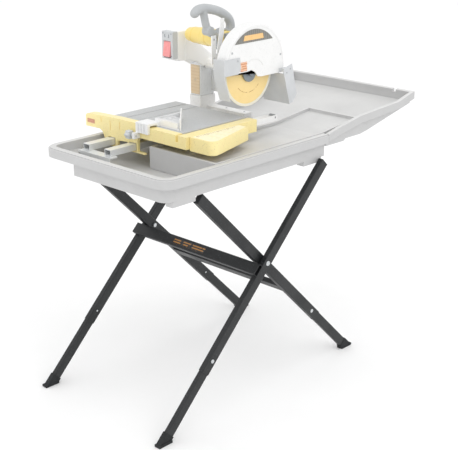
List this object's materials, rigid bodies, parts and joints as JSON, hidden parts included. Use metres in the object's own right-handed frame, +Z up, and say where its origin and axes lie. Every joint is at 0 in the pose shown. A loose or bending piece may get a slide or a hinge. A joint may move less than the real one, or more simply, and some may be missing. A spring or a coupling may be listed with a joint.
{
  "type": "masonry saw",
  "caption": "Wet masonry saw with a hooded disc on a hinged arm, a rolling cart over a water tub with catch trays, and a folding scissor stand.",
  "frame": {"origin": "centre of the bounding box on the floor", "axes": "+X to the operator's right, +Y from the operator's end to the rear, +Z up"},
  "size_m": [0.7222, 1.4694, 1.444],
  "materials": {
    "black_steel": "semi-gloss black powder coat, lightly orange-peeled",
    "foot_rubber": "matt black rubber",
    "bolt_steel": "bright zinc-plated steel",
    "tub_plastic": "pale grey moulded plastic with a soft sheen on its rims",
    "rail_aluminium": "bright extruded aluminium",
    "base_casting": "pale grey painted casting",
    "column_casting": "grey paint on a casting",
    "column_label": "tan plastic label, blank",
    "cart_yellow": "pale warm yellow paint",
    "mat_rubber": "grey ribbed rubber",
    "extension_mat": "pale cream plastic",
    "white_casting": "white paint on castings and sheet",
    "roller_rubber": "dark grey rubber",
    "guide_aluminium": "pale cast aluminium",
    "dark_plastic": "grey textured plastic",
    "motor_yellow": "yellow moulded plastic",
    "switch_red": "pale red plastic",
    "badge": "blank dark badge",
    "label_orange": "small blank orange label",
    "flap_rubber": "grey moulded rubber",
    "blade_core": "pale yellow painted steel disc with a bare rim",
    "flange_steel": "machined steel"
  },
  "bodies": {
    "outer_frame": {"outer_leg_left": "black_steel", "outer_leg_right": "black_steel", "front_crossbar": "black_steel", "pivot_bolt_left": "bolt_steel", "pivot_bolt_right": "bolt_steel", "leg_bolt_outer_left": "bolt_steel", "leg_bolt_outer_right": "bolt_steel", "leg_cap_outer_left": "foot_rubber", "leg_cap_outer_right": "foot_rubber"},
    "inner_frame": {"inner_leg_left": "black_steel", "inner_leg_right": "black_steel", "rear_crossbar": "black_steel", "leg_bolt_inner_left": "bolt_steel", "leg_bolt_inner_right": "bolt_steel", "leg_cap_inner_left": "foot_rubber", "leg_cap_inner_right": "foot_rubber"},
    "leg_front_left": {"lower_leg_front_left": "black_steel", "foot_front_left": "foot_rubber"},
    "leg_front_right": {"lower_leg_front_right": "black_steel", "foot_front_right": "foot_rubber"},
    "leg_rear_left": {"lower_leg_rear_left": "black_steel", "foot_rear_left": "foot_rubber"},
    "leg_rear_right": {"lower_leg_rear_right": "black_steel", "foot_rear_right": "foot_rubber"},
    "saw_base": {"water_tub": "tub_plastic", "side_tray": "tub_plastic", "rear_tray": "tub_plastic", "rail_left": "rail_aluminium", "rail_right": "rail_aluminium", "rail_front_bracket": "rail_aluminium", "column_base": "base_casting", "column": "column_casting", "column_plate": "column_label"},
    "cart": {"cart_frame": "cart_yellow", "table_mat": "mat_rubber", "front_bar": "cart_yellow", "side_extension": "cart_yellow", "extension_mat": "extension_mat", "roller_bracket": "white_casting"},
    "roller": {"rear_roller": "roller_rubber"},
    "guide": {"guide_clamp": "guide_aluminium", "guide_fence": "guide_aluminium"},
    "guide_screw": {"guide_knob": "dark_plastic"},
    "head": {"head_arm": "white_casting", "hinge_pin": "bolt_steel", "motor_housing": "motor_yellow", "switch_box": "dark_plastic", "handle": "dark_plastic", "gear_case": "dark_plastic", "case_fin": "white_casting", "blade_guard": "white_casting", "guard_badge": "badge", "warning_plate": "label_orange", "front_flap": "flap_rubber", "rear_flap": "flap_rubber"},
    "blade_assembly": {"blade": "blade_core", "flange_inner": "flange_steel", "flange_outer": "flange_steel", "spindle": "bolt_steel"},
    "switch": {"switch_paddle": "switch_red"}
  },
  "joints": [
    {"name": "saw_lift", "type": "slide", "parent": "outer_frame", "child": "saw_base", "axis": [0, 0, 1], "range_m": [0, 0.65]},
    {"name": "stand_fold", "type": "hinge", "parent": "outer_frame", "child": "inner_frame", "pos_m": [0.02185, -0.17025, 0.538], "axis": [1, 0, 0], "range_deg": [-90, 0]},
    {"name": "leg_extend_front_left", "type": "slide", "parent": "outer_frame", "child": "leg_front_left", "axis": [0, -0.7071, -0.7071], "range_m": [0, 0.06]},
    {"name": "leg_extend_front_right", "type": "slide", "parent": "outer_frame", "child": "leg_front_right", "axis": [0, -0.7071, -0.7071], "range_m": [0, 0.06]},
    {"name": "leg_extend_rear_left", "type": "slide", "parent": "inner_frame", "child": "leg_rear_left", "axis": [0, 0.7071, -0.7071], "range_m": [0, 0.06]},
    {"name": "leg_extend_rear_right", "type": "slide", "parent": "inner_frame", "child": "leg_rear_right", "axis": [0, 0.7071, -0.7071], "range_m": [0, 0.06]},
    {"name": "cart_travel", "type": "slide", "parent": "saw_base", "child": "cart", "axis": [0, 1, 0], "range_m": [0, 0.36]},
    {"name": "roller_spin", "type": "hinge", "parent": "cart", "child": "roller", "pos_m": [0.17285, 0.05075, 1.0235], "axis": [1, 0, 0], "continuous": true},
    {"name": "guide_slide", "type": "slide", "parent": "cart", "child": "guide", "axis": [-1, 0, 0], "range_m": [0, 0.19]},
    {"name": "guide_knob_turn", "type": "hinge", "parent": "guide", "child": "guide_screw", "pos_m": [-0.07815, -0.44025, 1.001], "axis": [1, 0, 0], "range_deg": [-180, 180]},
    {"name": "head_plunge", "type": "hinge", "parent": "saw_base", "child": "head", "pos_m": [-0.27815, 0.12975, 1.163], "axis": [1, 0, 0], "range_deg": [0, 15], "stiffness_Nm_per_rad": 60, "springref_deg": -51.57},
    {"name": "blade_spin", "type": "hinge", "parent": "head", "child": "blade_assembly", "pos_m": [0.14185, -0.05025, 1.205], "axis": [1, 0, 0], "continuous": true},
    {"name": "switch_press", "type": "hinge", "parent": "head", "child": "switch", "pos_m": [-0.27315, -0.06325, 1.268], "axis": [1, 0, 0], "range_deg": [0, 6], "stiffness_Nm_per_rad": 0.4, "springref_deg": -8.59}
  ],
  "couplings": [
    {"joint": "stand_fold", "follows": "saw_lift", "rad_per_m": -2.4165}
  ]
}
